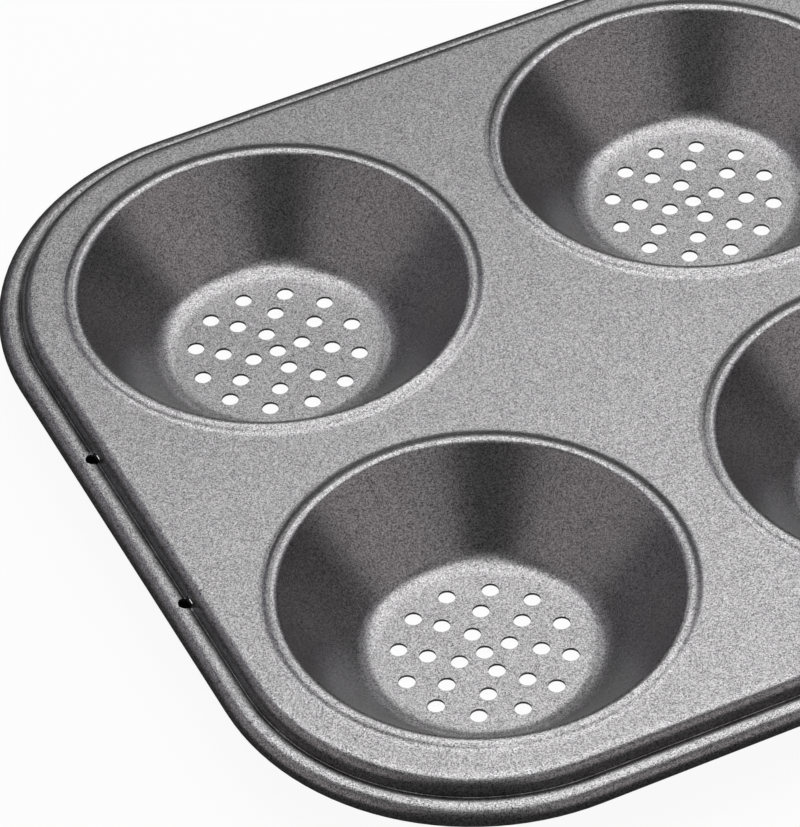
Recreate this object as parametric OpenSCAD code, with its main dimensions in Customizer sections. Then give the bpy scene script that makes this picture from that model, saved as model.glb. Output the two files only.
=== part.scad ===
// Six-hole baking pan: one steel sheet pressed into round cups with perforated floors,
// with a stepped edge that ends in a hollow rolled bead. The pan stands on the floors of
// its cups. Its middle is at X = 0 and Y = 0, and Z = 0 is what it stands on.

/* [Sheet] */
// Thickness of the steel
sheet = 0.6; // [0.4:0.1:0.8]

/* [Cups] */
// Cups along the length of the pan
columns = 3; // [2:1:4]
// Cups across the width of the pan
rows = 2; // [2:1:3]
// Height of the flat deck's upper face
deck_h = 20; // [15:0.5:34]
// Radius of the flat part of a cup's floor
floor_r = 22.2; // [20.8:0.2:26]
// Inside radius of the bend between floor and wall
base_bend_r = 7; // [3:0.2:8]
// Radius of the crest of the lip round a cup's mouth
mouth_r = 43.3; // [40:0.1:45]
// Narrowest part of the deck between the crests of two neighbouring lips
cup_gap = 15.4; // [11.4:0.2:43.4]
// Outside radius of the bend from the cup's wall up to the lip's crest
crest_bend_r = 2; // [1.2:0.1:2.4]
// Outside radius of the gentler bend from the crest down towards the deck
brow_bend_r = 3; // [1.2:0.1:4]
// Inside radius of the bend where the lip meets the deck
foot_bend_r = 2.6; // [0.8:0.1:4]
// Steepest slope of the lip's outer side, in degrees
lip_slope = 30; // [20:1:50]

/* [Floor perforations] */
// Diameter of each hole in a cup's floor
hole_d = 3.7; // [2.5:0.1:4.4]
// Rings of holes round the middle one
hole_rings = 3; // [1:1:3]
// Holes in the innermost ring, and added with each ring outside it
hole_step = 4; // [3:1:5]
// Radius of the innermost ring
first_ring_r = 5.8; // [5.2:0.1:6.2]
// Distance from each ring to the next one
ring_gap = 6.05; // [5:0.05:6.2]

/* [Edge] */
// Narrowest part of the deck between the crest of an outer lip and the stepped edge
edge_gap = 7.4; // [4.7:0.1:16.7]
// Radius of the deck's corners, to where the stepped edge begins
corner_r = 48.7; // [30:0.1:50]
// Outside radius of the shoulder between deck and step
shoulder_bend_r = 3; // [1:0.1:3.4]
// Steepness of the step, in degrees from the deck
step_slope = 70; // [60:1:85]
// Drop from the deck to the top of the bead
bead_drop = 3.1; // [2.2:0.1:5]
// Inside radius of the tight fold at the foot of the step
fold_bend_r = 0.2; // [0.1:0.1:0.5]
// Slope at which the sheet leaves the fold to become the top of the bead, in degrees
fold_rise = 28; // [15:1:40]

/* [Rolled bead] */
// Width of the bead
bead_w = 6.4; // [6.2:0.1:8]
// Height of the bead
bead_h = 5.5; // [5:0.1:5.8]
// Outside radius of the bead's rounded side
bead_side_r = 2.35; // [2.2:0.05:2.45]
// How far the sheet curls on past the underside of the bead, in degrees
curl_end = 42; // [5:1:60]

/* [Drain holes] */
// Diameter of each drain hole in the bead
drain_d = 3.2; // [2:0.1:3.6]
// Distance between the two drain holes in a short side
drain_span = 47.5; // [20:0.5:90]
// Distance of a drain hole inwards from the middle of the bead
drain_inset = 1.2; // [0.8:0.1:1.6]

/* [Hidden] */
$fn = 128;
// A round bend in the sheet is drawn with one short facet for about this many degrees
facet_turn = 10;
// The deck, the floors and what is bent from them share a flat strip of this width
lap = 0.5;

// Every bend below is given by the radius of the middle of the sheet
half = sheet / 2;
deck_mid = deck_h - half;
base_r = base_bend_r + half;
crest_r = crest_bend_r - half;
brow_r = brow_bend_r - half;
foot_r = foot_bend_r + half;
shoulder_r = shoulder_bend_r - half;
fold_r = fold_bend_r + half;

// The cup's wall is the straight line that touches both the base bend and the crest bend
lip_h = (brow_r + foot_r) * (1 - cos(lip_slope));
cup_foot_r = mouth_r + (brow_r + foot_r) * sin(lip_slope);
span_x = mouth_r - floor_r;
span_z = deck_mid + lip_h - crest_r - half - base_r;
wall_slope = atan2(span_z, span_x) + asin((base_r + crest_r) / norm([span_x, span_z]));
wall_run = sqrt(span_x ^ 2 + span_z ^ 2 - (base_r + crest_r) ^ 2);

// The bead is an oval of four arcs: wide ones above and below, and tight ones at its sides
side_r = bead_side_r - half;
oval_x = bead_w / 2 - bead_side_r;
oval_z = bead_h / 2 - bead_side_r;
centre_gap = (oval_x ^ 2 + oval_z ^ 2) / (2 * oval_z);
wide_r = centre_gap + side_r;
wide_turn = 2 * asin(oval_x / centre_gap);
side_turn = 180 - wide_turn;

// The step is as long as it takes to bring the bead's top to its place below the deck
shoulder_drop = shoulder_r * (1 - cos(step_slope));
fold_drop = fold_r * (cos(fold_rise) - cos(step_slope));
bead_rise = wide_r * (1 - cos(fold_rise));
step_run = (bead_drop - shoulder_drop - fold_drop + bead_rise) / sin(step_slope);

// Distance from the start of the stepped edge out to the middle of the bead
bead_out = (shoulder_r + fold_r) * sin(step_slope) + step_run * cos(step_slope)
    + (fold_r + wide_r) * sin(fold_rise);

// Distance between the centres of neighbouring cups, and from the outer ones to the edge
pitch = 2 * mouth_r + cup_gap;
deck_margin = mouth_r + edge_gap;

// Centres of the cups, and of the deck's round corners
cup_x = [for (i = [0:columns - 1]) (i - (columns - 1) / 2) * pitch];
cup_y = [for (i = [0:rows - 1]) (i - (rows - 1) / 2) * pitch];
corner_x = (columns - 1) / 2 * pitch + deck_margin - corner_r;
corner_y = (rows - 1) / 2 * pitch + deck_margin - corner_r;

// A straight length of sheet, and a bend in it that turns up, or down where turn is negative
function run(length) = ["run", length];
function bend(radius, turn) = ["bend", radius, turn];

function ahead(heading) = [cos(heading), sin(heading)];
function left(heading) = [-sin(heading), cos(heading)];

// Points along one face of a sheet that starts at a point and heading and follows the steps.
// The face lies to the left of the sheet's middle line by the given offset.
function face(steps, offset, at, heading = 0, i = 0) =
    i == len(steps) ? [at + offset * left(heading)]
    : steps[i][0] == "run" ? concat(
        [at + offset * left(heading)],
        face(steps, offset, at + steps[i][1] * ahead(heading), heading, i + 1)
    )
    : let (
        turn = steps[i][2],
        arm = sign(turn) * steps[i][1],
        centre = at + arm * left(heading),
        facets = ceil(abs(turn) / facet_turn)
    ) concat(
        [for (k = [0:facets - 1]) centre + (offset - arm) * left(heading + turn * k / facets)],
        face(steps, offset, centre - arm * left(heading + turn), heading + turn, i + 1)
    );

// Section of the sheet along a list of runs and bends
module sheet_section(steps, at) {
    upper = face(steps, half, at);
    lower = face(steps, -half, at);
    last = len(lower) - 1;
    polygon(concat(upper, [for (i = [0:last]) lower[last - i]]));
}

// Section of the pan's edge, from the flat deck out to the end of the curl
module edge_section() {
    sheet_section([
        run(lap),
        bend(shoulder_r, -step_slope),
        run(step_run),
        bend(fold_r, step_slope + fold_rise),
        bend(wide_r, -fold_rise - wide_turn / 2),
        bend(side_r, -side_turn),
        bend(wide_r, -wide_turn),
        bend(side_r, -curl_end),
    ], [corner_r - lap, deck_mid]);
}

// Section of a cup, from the flat floor up its wall and over the lip to the deck
module cup_section() {
    sheet_section([
        run(lap),
        bend(base_r, wall_slope),
        run(wall_run),
        bend(crest_r, -wall_slope),
        bend(brow_r, -lip_slope),
        bend(foot_r, lip_slope),
        run(lap),
    ], [floor_r - lap, half]);
}

// Outline of the flat deck, with its round corners and a round hole for each cup
module deck_outline() {
    difference() {
        union() {
            square([2 * corner_x, 2 * (corner_y + corner_r)], center = true);
            square([2 * (corner_x + corner_r), 2 * corner_y], center = true);
            for (x = [-corner_x, corner_x], y = [-corner_y, corner_y])
                translate([x, y]) circle(r = corner_r);
        }
        for (x = cup_x, y = cup_y)
            translate([x, y]) circle(r = cup_foot_r);
    }
}

module deck() {
    translate([0, 0, deck_h - sheet]) linear_extrude(sheet) deck_outline();
}

// One straight stretch of the edge along +X, at a distance from the middle of the pan
module straight_edge(distance, length) {
    translate([distance, length / 2, 0])
        rotate([90, 0, 0])
            linear_extrude(length) edge_section();
}

// Stepped edge with its rolled bead, all the way round the deck
module edge() {
    for (end = [0, 180]) {
        rotate(end) straight_edge(corner_x, 2 * corner_y);
        rotate(end + 90) straight_edge(corner_y, 2 * corner_x);
    }
    for (quarter = [0:3]) {
        x = quarter == 0 || quarter == 3 ? corner_x : -corner_x;
        y = quarter < 2 ? corner_y : -corner_y;
        translate([x, y, 0]) rotate(quarter * 90) rotate_extrude(angle = 90) edge_section();
    }
}

// Floor of a cup, with one hole in the middle and rings of holes round it that let steam out
module cup_floor() {
    linear_extrude(sheet)
        difference() {
            circle(r = floor_r);
            circle(d = hole_d);
            for (ring = [1:hole_rings]) {
                count = hole_step * ring;
                // Every second ring is turned by half a step
                first = ring % 2 == 0 ? 180 / count : 0;
                for (i = [0:count - 1])
                    rotate(first + i * 360 / count)
                        translate([first_ring_r + (ring - 1) * ring_gap, 0]) circle(d = hole_d);
            }
        }
}

// One pressed cup, with the lip round its mouth
module cup() {
    cup_floor();
    rotate_extrude() cup_section();
}

// Holes through the bead's top on both short sides, which drain its hollow after washing
module drain_cutters() {
    bead_mid = deck_h - bead_drop - bead_h / 2;
    for (end = [-1, 1], side = [-1, 1])
        translate([
            end * (corner_x + corner_r + bead_out - drain_inset),
            side * drain_span / 2,
            bead_mid
        ])
            cylinder(d = drain_d, h = bead_h / 2 + half);
}

module baking_pan() {
    color("#77777a")
        union() {
            deck();
            difference() {
                edge();
                drain_cutters();
            }
            for (x = cup_x, y = cup_y)
                translate([x, y, 0]) cup();
        }
}

baking_pan();
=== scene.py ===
"""Six-hole baking pan: its pressed sheet, its non-stick coating and a plain studio round it.

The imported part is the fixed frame: metres, +Z up, with the pan standing on Z = 0. The pan is
made again here as one smooth sheet by Geometry Nodes, from the same sizes as the part.
"""

import math

import bmesh
import bpy
from bpy.props import (
    FloatProperty,
    FloatVectorProperty,
    IntProperty,
    PointerProperty,
)
from bpy.types import Operator, Panel, PropertyGroup
from mathutils import Matrix, Vector


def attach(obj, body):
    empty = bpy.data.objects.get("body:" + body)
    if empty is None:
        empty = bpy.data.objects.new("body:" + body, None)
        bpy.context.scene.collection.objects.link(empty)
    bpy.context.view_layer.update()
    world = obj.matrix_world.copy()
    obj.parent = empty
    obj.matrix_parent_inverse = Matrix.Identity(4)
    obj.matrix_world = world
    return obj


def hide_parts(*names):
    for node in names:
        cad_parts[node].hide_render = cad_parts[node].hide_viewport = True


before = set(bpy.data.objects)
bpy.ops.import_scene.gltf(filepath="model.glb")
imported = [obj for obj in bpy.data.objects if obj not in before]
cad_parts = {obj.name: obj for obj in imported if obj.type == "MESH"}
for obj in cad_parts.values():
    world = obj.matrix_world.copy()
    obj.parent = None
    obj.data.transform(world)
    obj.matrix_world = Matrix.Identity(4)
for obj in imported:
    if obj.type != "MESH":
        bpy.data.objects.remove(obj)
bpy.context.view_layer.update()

bl_info = {
    "name": "Six-hole Baking Pan",
    "version": (1, 0, 0),
    "blender": (4, 5, 0),
    "location": "3D View > Sidebar > Baking Pan",
    "description": "Builds a perforated six-hole baking pan and a plain studio to show it in",
    "category": "Add Mesh",
}

PAN_NODE = "baking_pan"
PAN_BODY = "root"

COATING_COLOUR = (0.4, 0.395, 0.4)

MM = 0.001
# Points closer than this are welded where one stretch of sheet meets the next
WELD = 0.01 * MM
# Flat strip of sheet drawn at each end of a bend, so that flat faces stay flat when shaded
LAP = 0.4 * MM
# A bend in the sheet is drawn with one facet for about this much turn
FACET_TURN = math.radians(8)
# Edges that turn more than this stay sharp: the rims of the holes and of the curl
SHARP_TURN = math.radians(40)
CUP_SEGMENTS = 144
HOLE_SEGMENTS = 28
DRAIN_SEGMENTS = 40
CORNER_SEGMENTS = 28
# A stretch of the deck's outline is a straight side if it is longer than this share of a
# corner's radius, and these points are added along it, so that its faces stay short
STRAIGHT_SHARE = 0.25
STRAIGHT_CUTS = 23.0

# Attribute of the pan's points for the painted shade in the fold: 1 in the fold, fading to 0
# where the painted shade ends
PAINTED_SHADE_MARK = "residue"
# Finer layers in the coating's clouds, and how strong each is beside the one before it
CLOUD_LAYERS = 3.0
CLOUD_ROUGHNESS = 0.6
# How much the coating's clouds thin out or thicken the painted shade in the fold
PAINTED_SHADE_SWING = 0.5

# Each fill light's bearing to the left of the view in degrees, its distance and height in
# metres, its width and length, and its colour as a share of the fill light's brightness
FILL_LIGHTS = (
    (111, 2.4, 1.35, (3.4, 1.9), (0.87, 0.8, 0.82)),
    (-115, 2.4, 1.35, (2.4, 1.9), (1.07, 0.98, 1.0)),
    (-155, 2.4, 1.35, (0.9, 1.9), (0.88, 0.84, 0.85)),
    (180, 1.4, 2.5, (2.4, 0.9), (0.68, 0.68, 0.68)),
    (55, 2.4, 1.35, (1.75, 1.9), (0.59, 0.57, 0.65)),
    (-48, 2.3, 1.65, (2.4, 1.0), (0.64, 0.62, 0.69)),
    (0, 2.4, 1.1, (1.4, 0.6), (0.76, 0.76, 0.76)),
    (72, 1.5, 2.2, (1.4, 0.5), (1.25, 1.25, 1.25)),
    (-72, 1.5, 2.2, (1.4, 0.5), (1.55, 1.55, 1.55)),
    (28, 2.0, 1.4, (0.7, 0.45), (3.1, 3.1, 3.1)),
)
TENT_RADIUS = 5.0
TENT_SEGMENTS = 48
# Half the width of the floor and of the mat, and how far each lies below the pan's underside
FLOOR_REACH = 3.0
FLOOR_DROP = 0.05 * MM
MAT_REACH = 2.0
MAT_DROP = 0.02 * MM
# Width of the camera's frame in millimetres, and the nearest that it sees, in metres
FRAME_WIDTH = 36.0
NEAREST_SEEN = 0.05


# Sizes and looks that a user would change


def length_property(name, description, default_mm):
    return FloatProperty(
        name=name,
        description=description,
        default=default_mm * MM,
        min=0.0,
        precision=4,
        subtype="DISTANCE",
        unit="LENGTH",
    )


def angle_property(name, description, default_degrees):
    return FloatProperty(
        name=name,
        description=description,
        default=math.radians(default_degrees),
        subtype="ANGLE",
        unit="ROTATION",
    )


def share_property(name, description, default):
    return FloatProperty(
        name=name, description=description, default=default, min=0.0, max=1.0, subtype="FACTOR"
    )


def colour_property(name, description, default):
    return FloatVectorProperty(
        name=name,
        description=description,
        default=default,
        size=3,
        min=0.0,
        max=1.0,
        subtype="COLOR",
    )


def light_property(name, description, default):
    return FloatProperty(name=name, description=description, default=default, min=0.0)


class PanSizes(PropertyGroup):
    """Sizes of the pressed sheet, the same as the part's own."""

    sheet: length_property("Sheet", "Thickness of the steel", 0.6)
    columns: IntProperty(
        name="Columns", description="Cups along the length of the pan", default=3, min=1
    )
    rows: IntProperty(
        name="Rows", description="Cups across the width of the pan", default=2, min=1
    )
    deck_h: length_property("Deck Height", "Height of the flat deck's upper face", 20)
    floor_r: length_property("Floor Radius", "Radius of the flat part of a cup's floor", 22.2)
    base_bend_r: length_property(
        "Base Bend", "Inside radius of the bend between floor and wall", 7
    )
    mouth_r: length_property("Mouth Radius", "Radius of the crest of a cup's lip", 43.3)
    cup_gap: length_property(
        "Cup Gap", "Narrowest part of the deck between two neighbouring lips' crests", 15.4
    )
    crest_bend_r: length_property(
        "Crest Bend", "Outside radius of the bend from the wall up to the lip's crest", 2
    )
    brow_bend_r: length_property(
        "Brow Bend", "Outside radius of the gentler bend from the crest towards the deck", 3
    )
    foot_bend_r: length_property(
        "Foot Bend", "Inside radius of the bend where the lip meets the deck", 2.6
    )
    lip_slope: angle_property("Lip Slope", "Steepest slope of the lip's outer side", 30)
    hole_d: length_property("Hole Diameter", "Diameter of each hole in a cup's floor", 3.7)
    hole_rings: IntProperty(
        name="Hole Rings", description="Rings of holes round the middle one", default=3, min=1
    )
    hole_step: IntProperty(
        name="Hole Step",
        description="Holes in the innermost ring, and added with each ring outside it",
        default=4,
        min=3,
    )
    first_ring_r: length_property("First Ring", "Radius of the innermost ring of holes", 5.8)
    ring_gap: length_property("Ring Gap", "Distance from each ring of holes to the next", 6.05)
    edge_gap: length_property(
        "Edge Gap", "Narrowest part of the deck between a lip's crest and the stepped edge", 7.4
    )
    corner_r: length_property("Corner Radius", "Radius of the deck's corners", 48.7)
    shoulder_bend_r: length_property("Shoulder", "Outside radius of the deck's shoulder", 3)
    step_slope: angle_property("Step Slope", "Steepness of the step round the deck", 70)
    bead_drop: length_property("Bead Drop", "Drop from the deck to the top of the bead", 3.1)
    fold_bend_r: length_property("Fold", "Inside radius of the fold at the foot of the step", 0.2)
    fold_rise: angle_property("Fold Rise", "Slope at which the bead's top leaves the fold", 28)
    bead_w: length_property("Bead Width", "Width of the rolled bead", 6.4)
    bead_h: length_property("Bead Height", "Height of the rolled bead", 5.5)
    bead_side_r: length_property("Bead Side", "Outside radius of the bead's side", 2.35)
    curl_end: angle_property("Curl End", "Curl of the sheet past the bead's underside", 42)
    drain_d: length_property("Drain Diameter", "Diameter of each drain hole in the bead", 3.2)
    drain_span: length_property("Drain Span", "Distance between a short side's drains", 47.5)
    drain_inset: length_property("Drain Inset", "Drain hole inwards from the bead's middle", 1.2)


class CoatingLook(PropertyGroup):
    """Looks of the metallic non-stick coating."""

    colour: colour_property("Colour", "Mean colour of the coating", COATING_COLOUR)
    metallic: share_property("Metallic", "Share of the coating that shines as metal does", 0.96)
    roughness: share_property("Roughness", "Spread of its reflections", 0.3)
    flake_size: length_property("Flake Size", "Size of one metal flake in the coating", 0.15)
    flake_contrast: share_property("Flake Contrast", "How much flakes differ in brightness", 0.9)
    flake_tilt: share_property("Flake Tilt", "How far flakes lean out of the surface", 0.03)
    # Painted shade: the coating is painted darker in the fold at the foot of the step, where the
    # tight crease lies in shade
    residue: share_property("Residue", "How dark the baked-on residue in the fold is", 0.85)
    painted_shade_reach: length_property(
        "Painted Shade Reach", "How far the residue spreads from the fold on each side", 1.5
    )
    mottle_size: length_property("Mottle Size", "Size of the coating's faint clouds", 9)
    mottle_contrast: share_property("Mottle Contrast", "How much the clouds differ", 0.05)


class StudioSetup(PropertyGroup):
    """Camera, light and floor."""

    aim: FloatVectorProperty(
        name="Aim",
        description="Point on the deck in the middle of the picture",
        default=(-94.8 * MM, 2.7 * MM, 20.0 * MM),
        size=3,
        subtype="XYZ",
        unit="LENGTH",
    )
    distance: length_property("Distance", "From the camera to the point it aims at", 1346.7)
    azimuth: angle_property("Azimuth", "Heading of the view, from +X towards +Y", 66.5)
    elevation: angle_property("Elevation", "How steeply the camera looks down", 44.5)
    roll: angle_property("Roll", "Turn of the camera about its own line of sight", -3.137)
    lens: FloatProperty(
        name="Lens",
        description=f"Focal length for a {FRAME_WIDTH:g} mm frame, in millimetres",
        default=277.66,
    )
    softbox_light: light_property(
        "Softbox Light", "Brightness of the softbox overhead, where 1 is white", 1.63
    )
    softbox_height: length_property("Softbox Height", "Height of the softbox", 2600)
    softbox_size: FloatVectorProperty(
        name="Softbox Size",
        description="Width and length of the softbox",
        default=(3.35, 3.0),
        size=2,
        unit="LENGTH",
    )
    softbox_place: FloatVectorProperty(
        name="Softbox Place",
        description="Place of the softbox from the pan's middle, to the view's right and ahead",
        default=(0.34, 1.18),
        size=2,
        unit="LENGTH",
    )
    softbox_turn: angle_property("Softbox Turn", "Turn of the softbox from the view", 40)
    fill_light: light_property("Fill Light", "Brightness that the fill lights share", 0.37)
    room_light: light_property("Room Light", "Soft light from all round the room", 0.3)
    cloth_tone: light_property("Cloth Tone", "Brightness of the tent's dark cloth", 0.03)
    mat_tone: light_property("Mat Tone", "Brightness of the dark mat under the pan", 0.03)
    floor_colour: colour_property("Floor", "Colour of the floor", (0.8, 0.8, 0.8))
    floor_glow: share_property("Floor Glow", "How white the floor stays in the shadow", 0.93)


# Building node trees

NODE_SPACING = 180


class TreeBuilder:
    """Adds nodes to one tree and links or sets their inputs by name."""

    def __init__(self, tree):
        self.tree = tree

    def add(self, kind, inputs=None, **settings):
        node = self.tree.nodes.new(kind)
        node.location.x = NODE_SPACING * len(self.tree.nodes)
        for name, value in settings.items():
            setattr(node, name, value)
        for name, value in (inputs or {}).items():
            self.feed(node.inputs[name], value)
        return node

    def feed(self, socket, value):
        values = value if isinstance(value, list) else [value]
        for item in values:
            if isinstance(item, bpy.types.NodeSocket):
                self.tree.links.new(item, socket)
            else:
                socket.default_value = item

    def calculated(self, kind, operation, *values):
        """Output of a Math node, or of a Vector Math node, for the values."""
        inputs = dict(enumerate(values))
        return self.add(kind, inputs, operation=operation).outputs[0]

    def math(self, operation, *values):
        return self.calculated("ShaderNodeMath", operation, *values)

    def vector(self, operation, *values):
        return self.calculated("ShaderNodeVectorMath", operation, *values)

    def xyz(self, x=0.0, y=0.0, z=0.0):
        return self.add("ShaderNodeCombineXYZ", {"X": x, "Y": y, "Z": z}).outputs[0]

    def scaled(self, vector, scale):
        inputs = {0: vector, "Scale": scale}
        return self.add("ShaderNodeVectorMath", inputs, operation="SCALE").outputs[0]

    def distance(self, place, other):
        inputs = {0: place, 1: other}
        return self.add("ShaderNodeVectorMath", inputs, operation="DISTANCE").outputs["Value"]


class GeometryBuilder(TreeBuilder):
    """A Geometry Nodes tree with named inputs and outputs."""

    def __init__(self, name, inputs, outputs):
        super().__init__(bpy.data.node_groups.new(name, "GeometryNodeTree"))
        for socket_name, kind in inputs:
            self.tree.interface.new_socket(socket_name, in_out="INPUT", socket_type=kind)
        for socket_name, kind in outputs:
            self.tree.interface.new_socket(socket_name, in_out="OUTPUT", socket_type=kind)
        self.given = self.tree.nodes.new("NodeGroupInput").outputs

    def give(self, **outputs):
        self.add("NodeGroupOutput", outputs)
        return self.tree


GEOMETRY = "NodeSocketGeometry"
FLOAT = "NodeSocketFloat"
INTEGER = "NodeSocketInt"
VECTOR = "NodeSocketVector"
MATERIAL = "NodeSocketMaterial"
SECTION_STATE = [("Section", GEOMETRY), ("Place", VECTOR), ("Heading", FLOAT)]


def run_group():
    """A straight length of sheet. Headings turn downwards from the level."""
    b = GeometryBuilder("Sheet Run", SECTION_STATE + [("Length", FLOAT)], SECTION_STATE)
    heading = b.given["Heading"]
    ahead = b.xyz(b.math("COSINE", heading), b.math("SINE", heading))
    end = b.vector("ADD", b.given["Place"], b.scaled(ahead, b.given["Length"]))
    line = b.add("GeometryNodeCurvePrimitiveLine", {"Start": b.given["Place"], "End": end})
    section = joined(b, line.outputs[0], b.given["Section"])
    return b.give(Section=section, Place=end, Heading=heading)


def bend_group():
    """A round bend in the sheet. A positive turn bends it down, and a negative one up."""
    b = GeometryBuilder(
        "Sheet Bend", SECTION_STATE + [("Radius", FLOAT), ("Turn", FLOAT)], SECTION_STATE
    )
    heading, radius, turn = (b.given[name] for name in ("Heading", "Radius", "Turn"))
    quarter = b.math("MULTIPLY", b.math("SIGN", turn), math.pi / 2)
    to_start = b.math("SUBTRACT", heading, quarter)
    to_end = b.math("ADD", to_start, turn)

    def arm(angle):
        return b.scaled(b.xyz(b.math("COSINE", angle), b.math("SINE", angle)), radius)

    centre = b.vector("SUBTRACT", b.given["Place"], arm(to_start))
    end = b.vector("ADD", centre, arm(to_end))
    facets = b.math("CEIL", b.math("DIVIDE", b.math("ABSOLUTE", turn), FACET_TURN))
    arc = b.add(
        "GeometryNodeCurveArc",
        {
            "Resolution": b.math("ADD", facets, 1.0),
            "Radius": radius,
            "Start Angle": to_start,
            "Sweep Angle": turn,
        },
        mode="RADIUS",
    )
    placed = moved(b, arc.outputs[0], translation=centre)
    section = joined(b, placed, b.given["Section"])
    return b.give(Section=section, Place=end, Heading=b.math("ADD", heading, turn))


def sheet_section(b, groups, steps):
    """Nodes that draw the sheet's middle line along runs (one value) and bends (two values).

    The last one's Section holds the whole line.
    """
    nodes = []
    for step in steps:
        kind, names = ("run", ["Length"]) if len(step) == 1 else ("bend", ["Radius", "Turn"])
        node = b.add("GeometryNodeGroup", dict(zip(names, step)), node_tree=groups[kind])
        if nodes:
            for name, _ in SECTION_STATE:
                b.feed(node.inputs[name], nodes[-1].outputs[name])
        nodes.append(node)
    return nodes


def swept(b, path, section):
    """The sheet that the section makes along a level path, with its outer face up."""
    upright = b.add("GeometryNodeSetCurveNormal", {"Curve": path}, mode="Z_UP")
    mesh = b.add(
        "GeometryNodeCurveToMesh", {"Curve": upright.outputs[0], "Profile Curve": section}
    )
    return mesh.outputs[0]


def moved(b, geometry, **transform):
    inputs = {name.capitalize(): value for name, value in transform.items()}
    return b.add("GeometryNodeTransform", {"Geometry": geometry, **inputs}).outputs[0]


def circle(b, segments, radius):
    return b.add(
        "GeometryNodeCurvePrimitiveCircle", {"Resolution": segments, "Radius": radius}
    ).outputs[0]


def instances(b, points, what):
    node = b.add("GeometryNodeInstanceOnPoints", {"Points": points, "Instance": what})
    return node.outputs[0]


def realized(b, geometry):
    return b.add("GeometryNodeRealizeInstances", {0: geometry}).outputs[0]


def joined(b, *parts):
    return b.add("GeometryNodeJoinGeometry", {0: list(parts)}).outputs[0]


def filled(b, *outlines):
    """Flat sheet inside the first outline and outside the others."""
    curves = realized(b, joined(b, *outlines))
    return b.add("GeometryNodeFillCurve", {"Curve": curves}, mode="TRIANGLES").outputs[0]


PERFORATION_INPUTS = [
    ("Hole Radius", FLOAT),
    ("Hole Rings", INTEGER),
    ("Hole Step", INTEGER),
    ("First Ring", FLOAT),
    ("Ring Gap", FLOAT),
]


def perforation_group():
    """Outlines of a cup floor's holes: one in the middle, and rings of them round it."""
    b = GeometryBuilder("Floor Perforations", PERFORATION_INPUTS, [("Outlines", GEOMETRY)])
    hole = circle(b, HOLE_SEGMENTS, b.given["Hole Radius"])
    start = b.tree.nodes.new("GeometryNodeRepeatInput")
    end = b.tree.nodes.new("GeometryNodeRepeatOutput")
    start.pair_with_output(end)
    b.feed(start.inputs["Iterations"], b.given["Hole Rings"])
    b.feed(start.inputs["Geometry"], hole)
    iteration = start.outputs["Iteration"]
    ring = b.math("ADD", iteration, 1.0)
    count = b.math("MULTIPLY", ring, b.given["Hole Step"])
    ring_r = b.math(
        "ADD", b.given["First Ring"], b.math("MULTIPLY", iteration, b.given["Ring Gap"])
    )
    # Every second ring is turned by half a step
    half_step = b.math("DIVIDE", math.pi, count)
    turn = b.math("MULTIPLY", b.math("MODULO", iteration, 2.0), half_step)
    ring_points = moved(b, circle(b, count, ring_r), rotation=b.xyz(z=turn))
    holes = instances(b, ring_points, hole)
    b.feed(end.inputs["Geometry"], joined(b, holes, start.outputs["Geometry"]))
    return b.give(Outlines=end.outputs["Geometry"])


CUP_INPUTS = PERFORATION_INPUTS + [
    ("Lap", FLOAT),
    ("Mouth Outline", FLOAT),
    ("Floor Radius", FLOAT),
    ("Foot Radius", FLOAT),
    ("Brow Radius", FLOAT),
    ("Crest Radius", FLOAT),
    ("Base Radius", FLOAT),
    ("Lip Slope", FLOAT),
    ("Wall Slope", FLOAT),
    ("Wall Run", FLOAT),
    ("Floor Depth", FLOAT),
]


def cup_group(groups):
    """One pressed cup, from the deck over its lip and down its wall to the perforated floor."""
    b = GeometryBuilder("Pressed Cup", CUP_INPUTS, [("Mesh", GEOMETRY)])
    given = b.given
    lap = given["Lap"]
    wall_inner = b.math("SUBTRACT", given["Wall Run"], b.math("MULTIPLY", lap, 2.0))
    section = sheet_section(b, groups, [
        (lap,),
        (given["Foot Radius"], b.math("MULTIPLY", given["Lip Slope"], -1.0)),
        (given["Brow Radius"], given["Lip Slope"]),
        (given["Crest Radius"], given["Wall Slope"]),
        (lap,),
        (wall_inner,),
        (lap,),
        (given["Base Radius"], b.math("MULTIPLY", given["Wall Slope"], -1.0)),
        (lap,),
    ])
    inwards = b.add(
        "GeometryNodeReverseCurve", {"Curve": circle(b, CUP_SEGMENTS, given["Mouth Outline"])}
    )
    wall = swept(b, inwards.outputs[0], section[-1].outputs["Section"])
    perforations = b.add("GeometryNodeGroup", node_tree=groups["perforations"])
    for name, _ in PERFORATION_INPUTS:
        b.feed(perforations.inputs[name], given[name])
    rim = circle(b, CUP_SEGMENTS, b.math("SUBTRACT", given["Floor Radius"], lap))
    depth = b.xyz(z=b.math("MULTIPLY", given["Floor Depth"], -1.0))
    floor = moved(b, filled(b, rim, perforations.outputs[0]), translation=depth)
    return b.give(Mesh=joined(b, wall, floor))


EDGE_INPUTS = [
    ("Lap", FLOAT),
    ("Shoulder Radius", FLOAT),
    ("Step Slope", FLOAT),
    ("Step Run", FLOAT),
    ("Fold Radius", FLOAT),
    ("Fold Rise", FLOAT),
    ("Wide Radius", FLOAT),
    ("Wide Turn", FLOAT),
    ("Side Radius", FLOAT),
    ("Side Turn", FLOAT),
    ("Curl End", FLOAT),
    # How far the painted shade spreads on each side of the fold
    ("Painted Shade Reach", FLOAT),
]
# Place of the fold among the steps of the edge's section
FOLD_STEP = 3


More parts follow.
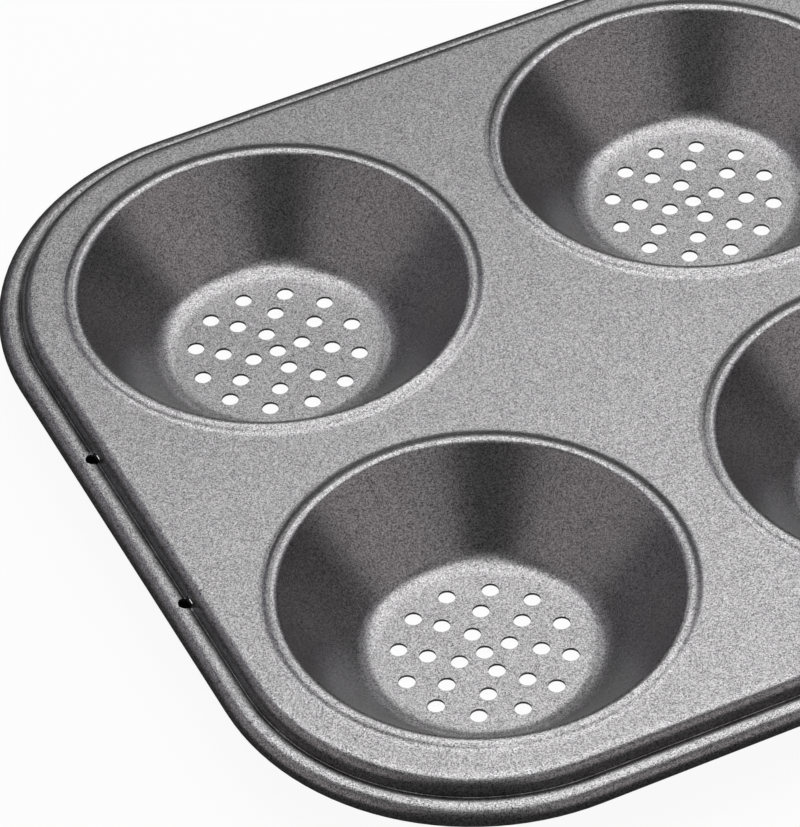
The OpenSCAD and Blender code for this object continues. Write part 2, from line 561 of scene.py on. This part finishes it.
def edge_group(groups):
    """The stepped edge and its rolled bead, swept along the deck's outline.

    A named attribute marks how near each point is to the fold, where the coating gets its painted
    shade.
    """
    inputs = [("Outline", GEOMETRY)] + EDGE_INPUTS
    b = GeometryBuilder("Stepped Edge", inputs, [("Mesh", GEOMETRY)])
    given = b.given
    fold_turn = b.math("ADD", given["Step Slope"], given["Fold Rise"])
    top_turn = b.math("ADD", given["Fold Rise"], b.math("DIVIDE", given["Wide Turn"], 2.0))
    section = sheet_section(b, groups, [
        (given["Lap"],),
        (given["Shoulder Radius"], given["Step Slope"]),
        (given["Step Run"],),
        (given["Fold Radius"], b.math("MULTIPLY", fold_turn, -1.0)),
        (given["Wide Radius"], top_turn),
        (given["Side Radius"], given["Side Turn"]),
        (given["Wide Radius"], given["Wide Turn"]),
        (given["Side Radius"], given["Curl End"]),
    ])
    fold_end = section[FOLD_STEP].outputs["Place"]
    apart = b.distance(b.add("GeometryNodeInputPosition").outputs[0], fold_end)
    share = b.math("DIVIDE", apart, given["Painted Shade Reach"])
    near = b.math("MAXIMUM", b.math("SUBTRACT", 1.0, share), 0.0)
    marked = b.add(
        "GeometryNodeStoreNamedAttribute",
        {"Geometry": section[-1].outputs["Section"], "Name": PAINTED_SHADE_MARK, "Value": near},
        data_type="FLOAT",
        domain="POINT",
    )
    return b.give(Mesh=swept(b, given["Outline"], marked.outputs[0]))


# The lap is an input of both the cup and the edge, so it is left out of the edge's here
PAN_INPUTS = (
    [
        ("Columns", INTEGER),
        ("Rows", INTEGER),
        ("Pitch", FLOAT),
        ("Deck Middle", FLOAT),
        ("Deck Length", FLOAT),
        ("Deck Width", FLOAT),
        ("Corner Radius", FLOAT),
    ]
    + CUP_INPUTS
    + EDGE_INPUTS[1:]
    + [("Material", MATERIAL)]
)


def deck_outline(b):
    """Outline of the flat deck, with extra points along its straight sides."""
    given = b.given
    corners = b.add(
        "GeometryNodeCurvePrimitiveQuadrilateral",
        {"Width": given["Deck Length"], "Height": given["Deck Width"]},
        mode="RECTANGLE",
    )
    rounded = b.add(
        "GeometryNodeFilletCurve",
        {
            "Curve": corners.outputs[0],
            "Count": CORNER_SEGMENTS,
            "Radius": given["Corner Radius"],
        },
        mode="POLY",
    )
    here = b.add("GeometryNodeInputPosition").outputs[0]
    after = b.add("GeometryNodeOffsetPointInCurve", {"Offset": 1})
    there = b.add(
        "GeometryNodeFieldAtIndex",
        {"Index": after.outputs["Point Index"], "Value": here},
        data_type="FLOAT_VECTOR",
        domain="POINT",
    )
    shortest_side = b.math("MULTIPLY", given["Corner Radius"], STRAIGHT_SHARE)
    straight = b.math("GREATER_THAN", b.distance(here, there.outputs[0]), shortest_side)
    cuts = b.math("MULTIPLY", straight, STRAIGHT_CUTS)
    cut = b.add("GeometryNodeSubdivideCurve", {"Curve": rounded.outputs[0], "Cuts": cuts})
    return cut.outputs[0]


def pan_tree(groups):
    """The whole pan as one surface: the middle of its sheet, welded, with its upper face up."""
    b = GeometryBuilder("Pressed Pan", PAN_INPUTS, [("Mesh", GEOMETRY)])
    given = b.given

    def group(name, inputs):
        node = b.add("GeometryNodeGroup", node_tree=groups[name])
        for socket_name, _ in inputs:
            b.feed(node.inputs[socket_name], given[socket_name])
        return node

    def span(count):
        return b.math("MULTIPLY", b.math("SUBTRACT", count, 1.0), given["Pitch"])

    grid = b.add(
        "GeometryNodeMeshGrid",
        {
            "Size X": span(given["Columns"]),
            "Size Y": span(given["Rows"]),
            "Vertices X": given["Columns"],
            "Vertices Y": given["Rows"],
        },
    )
    cups = instances(b, grid.outputs["Mesh"], group("cup", CUP_INPUTS).outputs[0])
    mouths = instances(b, grid.outputs["Mesh"], circle(b, CUP_SEGMENTS, given["Mouth Outline"]))
    outline = deck_outline(b)
    edge = group("edge", EDGE_INPUTS)
    b.feed(edge.inputs["Outline"], outline)
    deck = filled(b, outline, mouths)
    parts = joined(b, cups, deck, edge.outputs[0])
    sheet = realized(b, moved(b, parts, translation=b.xyz(z=given["Deck Middle"])))
    welded = b.add("GeometryNodeMergeByDistance", {"Geometry": sheet, "Distance": WELD})
    smooth = b.add("GeometryNodeSetShadeSmooth", {"Geometry": welded.outputs[0]})
    coated = b.add(
        "GeometryNodeSetMaterial",
        {"Geometry": smooth.outputs[0], "Material": given["Material"]},
    )
    return b.give(Mesh=coated.outputs[0])


DRAIN_INPUTS = [
    ("Drain Radius", FLOAT),
    ("Across", FLOAT),
    ("Span", FLOAT),
    ("Height", FLOAT),
    ("Depth", FLOAT),
    ("Material", MATERIAL),
]


def drain_tree():
    """Cuts two drain holes through the bead's top on each short side."""
    b = GeometryBuilder("Drain Holes", [("Mesh", GEOMETRY)] + DRAIN_INPUTS, [("Mesh", GEOMETRY)])
    given = b.given
    corners = b.add(
        "GeometryNodeMeshGrid",
        {"Size X": given["Across"], "Size Y": given["Span"], "Vertices X": 2, "Vertices Y": 2},
    )
    drill = b.add(
        "GeometryNodeMeshCylinder",
        {"Vertices": DRAIN_SEGMENTS, "Radius": given["Drain Radius"], "Depth": given["Depth"]},
    )
    drills = instances(b, corners.outputs["Mesh"], drill.outputs["Mesh"])
    cutters = moved(b, realized(b, drills), translation=b.xyz(z=given["Height"]))
    cut = b.add(
        "GeometryNodeMeshBoolean",
        {"Mesh 1": given["Mesh"], "Mesh 2": cutters},
        operation="DIFFERENCE",
        solver="EXACT",
    )
    plain = realized(b, cut.outputs["Mesh"])
    coated = b.add(
        "GeometryNodeSetMaterial", {"Geometry": plain, "Material": given["Material"]}
    )
    return b.give(Mesh=coated.outputs[0])


def set_inputs(modifier, values):
    """Sets a Geometry Nodes modifier's inputs, which it knows by their identifiers."""
    known = {
        item.name: item.identifier
        for item in modifier.node_group.interface.items_tree
        if item.in_out == "INPUT"
    }
    for name, value in values.items():
        modifier[known[name]] = value


# Sizes that follow from the pan's own


def cup_sizes(s):
    """Sizes of a cup for its tree. The wall touches both the base bend and the crest bend."""
    half = s.sheet / 2
    base_r = s.base_bend_r + half
    crest_r = s.crest_bend_r - half
    brow_r = s.brow_bend_r - half
    foot_r = s.foot_bend_r + half
    lip_h = (brow_r + foot_r) * (1 - math.cos(s.lip_slope))
    deck_mid = s.deck_h - half
    span_x = s.mouth_r - s.floor_r
    span_z = deck_mid + lip_h - crest_r - half - base_r
    reach = math.hypot(span_x, span_z)
    return {
        "Foot Radius": foot_r,
        "Brow Radius": brow_r,
        "Crest Radius": crest_r,
        "Base Radius": base_r,
        "Lip Slope": s.lip_slope,
        "Wall Slope": math.atan2(span_z, span_x) + math.asin((base_r + crest_r) / reach),
        "Wall Run": math.sqrt(reach**2 - (base_r + crest_r) ** 2),
        "Floor Radius": s.floor_r,
        "Floor Depth": deck_mid - half,
        "Mouth Outline": s.mouth_r + (brow_r + foot_r) * math.sin(s.lip_slope) + LAP,
        "Hole Radius": s.hole_d / 2,
        "Hole Rings": s.hole_rings,
        "Hole Step": s.hole_step,
        "First Ring": s.first_ring_r,
        "Ring Gap": s.ring_gap,
    }


def edge_sizes(s):
    """Sizes of the edge for its tree. The bead is an oval of two wide and two tight arcs."""
    half = s.sheet / 2
    shoulder_r = s.shoulder_bend_r - half
    fold_r = s.fold_bend_r + half
    oval_x = s.bead_w / 2 - s.bead_side_r
    oval_z = s.bead_h / 2 - s.bead_side_r
    centre_gap = (oval_x**2 + oval_z**2) / (2 * oval_z)
    wide_r = centre_gap + s.bead_side_r - half
    wide_turn = 2 * math.asin(oval_x / centre_gap)
    shoulder_drop = shoulder_r * (1 - math.cos(s.step_slope))
    fold_drop = fold_r * (math.cos(s.fold_rise) - math.cos(s.step_slope))
    bead_rise = wide_r * (1 - math.cos(s.fold_rise))
    step_run = (s.bead_drop - shoulder_drop - fold_drop + bead_rise) / math.sin(s.step_slope)
    bead_out = (
        (shoulder_r + fold_r) * math.sin(s.step_slope)
        + step_run * math.cos(s.step_slope)
        + (fold_r + wide_r) * math.sin(s.fold_rise)
    )
    sizes = {
        "Shoulder Radius": shoulder_r,
        "Step Slope": s.step_slope,
        "Step Run": step_run,
        "Fold Radius": fold_r,
        "Fold Rise": s.fold_rise,
        "Wide Radius": wide_r,
        "Wide Turn": wide_turn,
        "Side Radius": s.bead_side_r - half,
        "Side Turn": math.pi - wide_turn,
        "Curl End": s.curl_end,
    }
    return sizes, bead_out


def pan_sizes(s):
    """Inputs of the pan's own tree, and of the tree that cuts its drain holes."""
    edge, bead_out = edge_sizes(s)
    pitch = 2 * s.mouth_r + s.cup_gap
    deck_margin = s.mouth_r + s.edge_gap
    half_x = (s.columns - 1) / 2 * pitch + deck_margin
    half_y = (s.rows - 1) / 2 * pitch + deck_margin
    pan = {
        "Columns": s.columns,
        "Rows": s.rows,
        "Pitch": pitch,
        "Deck Middle": s.deck_h - s.sheet / 2,
        "Deck Length": 2 * (half_x - LAP),
        "Deck Width": 2 * (half_y - LAP),
        "Corner Radius": s.corner_r - LAP,
        "Lap": LAP,
        **cup_sizes(s),
        **edge,
    }
    bead_mid = s.deck_h - s.bead_drop - s.bead_h / 2
    depth = s.bead_h / 2 + s.sheet
    drains = {
        "Drain Radius": s.drain_d / 2,
        "Across": 2 * (half_x + bead_out - s.drain_inset),
        "Span": s.drain_span,
        "Height": bead_mid + depth / 2,
        "Depth": depth,
    }
    return pan, drains


# Materials


def new_material(name):
    material = bpy.data.materials.new(name)
    material.use_nodes = True
    material.node_tree.nodes.clear()
    return material, TreeBuilder(material.node_tree)


def coating_material(look):
    """Grey non-stick coating full of fine metal flakes, each a little lighter or darker, with
    painted shade in the fold.
    """
    material, b = new_material("Flecked Non-stick Coating")
    place = b.add("ShaderNodeTexCoord").outputs["Object"]
    flakes = b.add(
        "ShaderNodeTexVoronoi",
        {"Vector": place, "Scale": 1 / look.flake_size, "Randomness": 1.0},
        feature="F1",
    )
    clouds = b.add(
        "ShaderNodeTexNoise",
        {
            "Vector": place,
            "Scale": 1 / look.mottle_size,
            "Detail": CLOUD_LAYERS,
            "Roughness": CLOUD_ROUGHNESS,
        },
    )
    parts = b.add("ShaderNodeSeparateColor", {"Color": flakes.outputs["Color"]}).outputs

    def swing(value, amount):
        """A factor round 1 that swings with a value from 0 to 1."""
        centred = b.math("SUBTRACT", value, 0.5)
        return b.math("ADD", b.math("MULTIPLY", centred, 2 * amount), 1.0)

    # Painted shade: the coating's colour is darkened in the fold, where the crease lies in shade,
    # made uneven by the clouds
    mark = b.add("ShaderNodeAttribute", attribute_name=PAINTED_SHADE_MARK).outputs["Fac"]
    residue = b.math("MULTIPLY", mark, swing(clouds.outputs["Fac"], PAINTED_SHADE_SWING))
    unshaded = b.math("SUBTRACT", 1.0, b.math("MULTIPLY", residue, look.residue))
    brightness = b.math(
        "MULTIPLY",
        swing(parts["Red"], look.flake_contrast),
        b.math("MULTIPLY", swing(clouds.outputs["Fac"], look.mottle_contrast), unshaded),
    )
    centred = b.vector("SUBTRACT", flakes.outputs["Color"], (0.5, 0.5, 0.5))
    lean = b.scaled(centred, 2 * look.flake_tilt)
    surface = b.add("ShaderNodeNewGeometry").outputs["Normal"]
    shader = b.add(
        "ShaderNodeBsdfPrincipled",
        {
            "Base Color": b.scaled(look.colour, brightness),
            "Metallic": look.metallic,
            "Roughness": look.roughness,
            "Normal": b.vector("NORMALIZE", b.vector("ADD", surface, lean)),
        },
    )
    b.add("ShaderNodeOutputMaterial", {"Surface": shader.outputs[0]})
    return material


def seen_directly(b):
    """1 for the rays that show the background: the camera's, mirrored and transmitted ones."""
    path = b.add("ShaderNodeLightPath").outputs
    seen = b.math("MAXIMUM", path["Is Camera Ray"], path["Is Glossy Ray"])
    return b.math("MAXIMUM", seen, path["Is Transmission Ray"])


def floor_material(studio):
    """Pale floor that the camera sees as white, with the pan's shadow faint on it."""
    material, b = new_material("White Floor")
    colour = (*studio.floor_colour, 1.0)
    lit = b.add("ShaderNodeBsdfDiffuse", {"Color": colour})
    glow = b.add("ShaderNodeEmission", {"Color": (1.0, 1.0, 1.0, 1.0), "Strength": 1.0})
    white = b.add(
        "ShaderNodeMixShader", {"Fac": studio.floor_glow, 1: lit.outputs[0], 2: glow.outputs[0]}
    )
    shown = b.add(
        "ShaderNodeMixShader", {"Fac": seen_directly(b), 1: lit.outputs[0], 2: white.outputs[0]}
    )
    b.add("ShaderNodeOutputMaterial", {"Surface": shown.outputs[0]})
    return material


def cloth_material(name, tone):
    """Dark cloth, which looks evenly dim however the lamps stand."""
    material, b = new_material(name)
    cloth = b.add("ShaderNodeEmission", {"Color": (tone, tone, tone, 1.0), "Strength": 1.0})
    b.add("ShaderNodeOutputMaterial", {"Surface": cloth.outputs[0]})
    return material


# Objects


def link(thing):
    bpy.context.scene.collection.objects.link(thing)
    return thing


def plain_mesh(name, thing):
    """A new object with the shape that another has once its modifiers have run."""
    shape = thing.evaluated_get(bpy.context.evaluated_depsgraph_get())
    made = bpy.data.meshes.new_from_object(shape)
    made.name = name
    return link(bpy.data.objects.new(name, made))


def build_pan(sizes, look):
    """Presses the sheet, gives it its thickness, drills the drain holes and coats it."""
    coating = coating_material(look)
    groups = {"run": run_group(), "bend": bend_group(), "perforations": perforation_group()}
    groups["cup"] = cup_group(groups)
    groups["edge"] = edge_group(groups)
    pan_values, drain_values = pan_sizes(sizes)
    blank = link(bpy.data.objects.new("blank", bpy.data.meshes.new("blank")))
    pressed = blank.modifiers.new("Pressed Pan", "NODES")
    pressed.node_group = pan_tree(groups)
    # The reach given here is how far the painted shade spreads on each side of the fold
    set_inputs(
        pressed, {**pan_values, "Painted Shade Reach": look.painted_shade_reach, "Material": coating}
    )
    wall = blank.modifiers.new("Sheet Thickness", "SOLIDIFY")
    wall.thickness = sizes.sheet
    wall.offset = 0.0
    wall.use_even_offset = True
    drains = blank.modifiers.new("Drain Holes", "NODES")
    drains.node_group = drain_tree()
    set_inputs(drains, {**drain_values, "Material": coating})
    pan = plain_mesh("pressed_pan", blank)
    bpy.data.objects.remove(blank)
    pan.data.set_sharp_from_angle(angle=SHARP_TURN)
    return pan


def level_panel(name, reach, drop, material):
    """A level square that reaches as far each way, a little below the pan's underside."""
    corners = [(-reach, -reach, 0), (reach, -reach, 0), (reach, reach, 0), (-reach, reach, 0)]
    mesh = bpy.data.meshes.new(name)
    mesh.from_pydata(corners, [], [(0, 1, 2, 3)])
    mesh.materials.append(material)
    panel = link(bpy.data.objects.new(name, mesh))
    panel.location.z = -drop
    return panel


def add_floor(studio):
    floor = level_panel("floor", FLOOR_REACH, FLOOR_DROP, floor_material(studio))


def add_camera(studio):
    """The camera, turned from level and facing +Y to its azimuth, elevation and roll."""
    data = bpy.data.cameras.new("camera")
    data.lens = studio.lens
    data.sensor_width = FRAME_WIDTH
    data.clip_start = NEAREST_SEEN
    camera = link(bpy.data.objects.new("camera", data))
    turn = (
        Matrix.Rotation(studio.azimuth - math.pi / 2, 4, "Z")
        @ Matrix.Rotation(math.pi / 2 - studio.elevation, 4, "X")
        @ Matrix.Rotation(studio.roll, 4, "Z")
    )
    back = turn @ Vector((0.0, 0.0, studio.distance))
    camera.matrix_world = Matrix.Translation(Vector(studio.aim) + back) @ turn
    bpy.context.scene.camera = camera


def area_light(name, brightness, size, place, turn):
    """A rectangular lamp. Its power gives its face the brightness that is asked for."""
    data = bpy.data.lights.new(name, "AREA")
    data.shape = "RECTANGLE"
    data.size, data.size_y = size
    data.energy = brightness * math.pi * size[0] * size[1]
    lamp = link(bpy.data.objects.new(name, data))
    lamp.matrix_world = Matrix.Translation(place) @ turn
    lamp.visible_camera = False
    return lamp


def add_softbox(studio):
    """A large softbox overhead, turned so that the deck shades off towards its far left."""
    view = Matrix.Rotation(studio.azimuth - math.pi / 2, 4, "Z")
    across, along = studio.softbox_place
    place = view @ Vector((across, along, studio.softbox_height))
    turn = view @ Matrix.Rotation(studio.softbox_turn, 4, "Z")
    area_light("softbox", studio.softbox_light, studio.softbox_size, place, turn)


def add_fill_lights(studio):
    """Dim fill lights round the pan, each turned to face it, with dark gaps between them."""
    for bearing, distance, height, size, colour in FILL_LIGHTS:
        turn = Matrix.Rotation(studio.azimuth + math.radians(bearing), 4, "Z")
        place = turn @ Vector((distance, 0.0, height))
        aimed = place.to_track_quat("Z", "Y").to_matrix().to_4x4()
        lamp = area_light("fill_light", studio.fill_light, size, place, aimed)
        lamp.data.color = colour


def set_room(studio):
    """A room that is white to the camera and to mirrored rays, and lights the rest softly."""
    world = bpy.data.worlds.new("White Room")
    world.use_nodes = True
    world.node_tree.nodes.clear()
    b = TreeBuilder(world.node_tree)
    white = (1.0, 1.0, 1.0, 1.0)
    soft = b.add("ShaderNodeBackground", {"Color": white, "Strength": studio.room_light})
    seen = b.add("ShaderNodeBackground", {"Color": white, "Strength": 1.0})
    shown = b.add(
        "ShaderNodeMixShader", {"Fac": seen_directly(b), 1: soft.outputs[0], 2: seen.outputs[0]}
    )
    b.add("ShaderNodeOutputWorld", {"Surface": shown.outputs[0]})
    bpy.context.scene.world = world


def add_tent(studio):
    """Dark cloth all round and a dark mat below, which only the metal mirrors."""
    tent_mesh = bpy.data.meshes.new("tent")
    shape = bmesh.new()
    bmesh.ops.create_uvsphere(
        shape, u_segments=TENT_SEGMENTS, v_segments=TENT_SEGMENTS // 2, radius=TENT_RADIUS
    )
    shape.to_mesh(tent_mesh)
    shape.free()
    tent_mesh.materials.append(cloth_material("Tent Cloth", studio.cloth_tone))
    tent = link(bpy.data.objects.new("tent", tent_mesh))
    mat = level_panel("mat", MAT_REACH, MAT_DROP, cloth_material("Mat Cloth", studio.mat_tone))
    for cloth in (tent, mat):
        cloth.visible_camera = False
        cloth.visible_shadow = False
        cloth.visible_diffuse = False
        cloth.visible_transmission = False


# Operators, panel and registration


class BAKINGPAN_OT_build_pan(Operator):
    """Press, perforate and coat the pan"""

    bl_idname = "baking_pan.build_pan"
    bl_label = "Build Pan"

    def execute(self, context):
        pan = build_pan(context.scene.pan_sizes, context.scene.coating_look)
        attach(pan, PAN_BODY)
        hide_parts(PAN_NODE)
        return {"FINISHED"}


class BAKINGPAN_OT_set_stage(Operator):
    """Set up the camera, the lights and the floor"""

    bl_idname = "baking_pan.set_stage"
    bl_label = "Set Stage"

    def execute(self, context):
        studio = context.scene.studio_setup
        add_camera(studio)
        add_floor(studio)
        add_softbox(studio)
        add_fill_lights(studio)
        add_tent(studio)
        set_room(studio)
        context.scene.view_settings.view_transform = "Standard"
        return {"FINISHED"}


class BAKINGPAN_PT_sidebar(Panel):
    """Sizes and looks of the pan and its studio"""

    bl_idname = "BAKINGPAN_PT_sidebar"
    bl_label = "Baking Pan"
    bl_space_type = "VIEW_3D"
    bl_region_type = "UI"
    bl_category = "Baking Pan"

    def draw(self, context):
        scene = context.scene
        for group in (scene.pan_sizes, scene.coating_look, scene.studio_setup):
            box = self.layout.box()
            for name in group.__annotations__:
                box.prop(group, name)
        self.layout.operator(BAKINGPAN_OT_build_pan.bl_idname)
        self.layout.operator(BAKINGPAN_OT_set_stage.bl_idname)


CLASSES = (
    PanSizes,
    CoatingLook,
    StudioSetup,
    BAKINGPAN_OT_build_pan,
    BAKINGPAN_OT_set_stage,
    BAKINGPAN_PT_sidebar,
)


def register():
    for cls in CLASSES:
        bpy.utils.register_class(cls)
    bpy.types.Scene.pan_sizes = PointerProperty(type=PanSizes)
    bpy.types.Scene.coating_look = PointerProperty(type=CoatingLook)
    bpy.types.Scene.studio_setup = PointerProperty(type=StudioSetup)


def unregister():
    del bpy.types.Scene.studio_setup
    del bpy.types.Scene.coating_look
    del bpy.types.Scene.pan_sizes
    for cls in reversed(CLASSES):
        bpy.utils.unregister_class(cls)


def main():
    register()
    bpy.ops.baking_pan.set_stage()
    bpy.ops.baking_pan.build_pan()


if __name__ == "__main__":
    main()
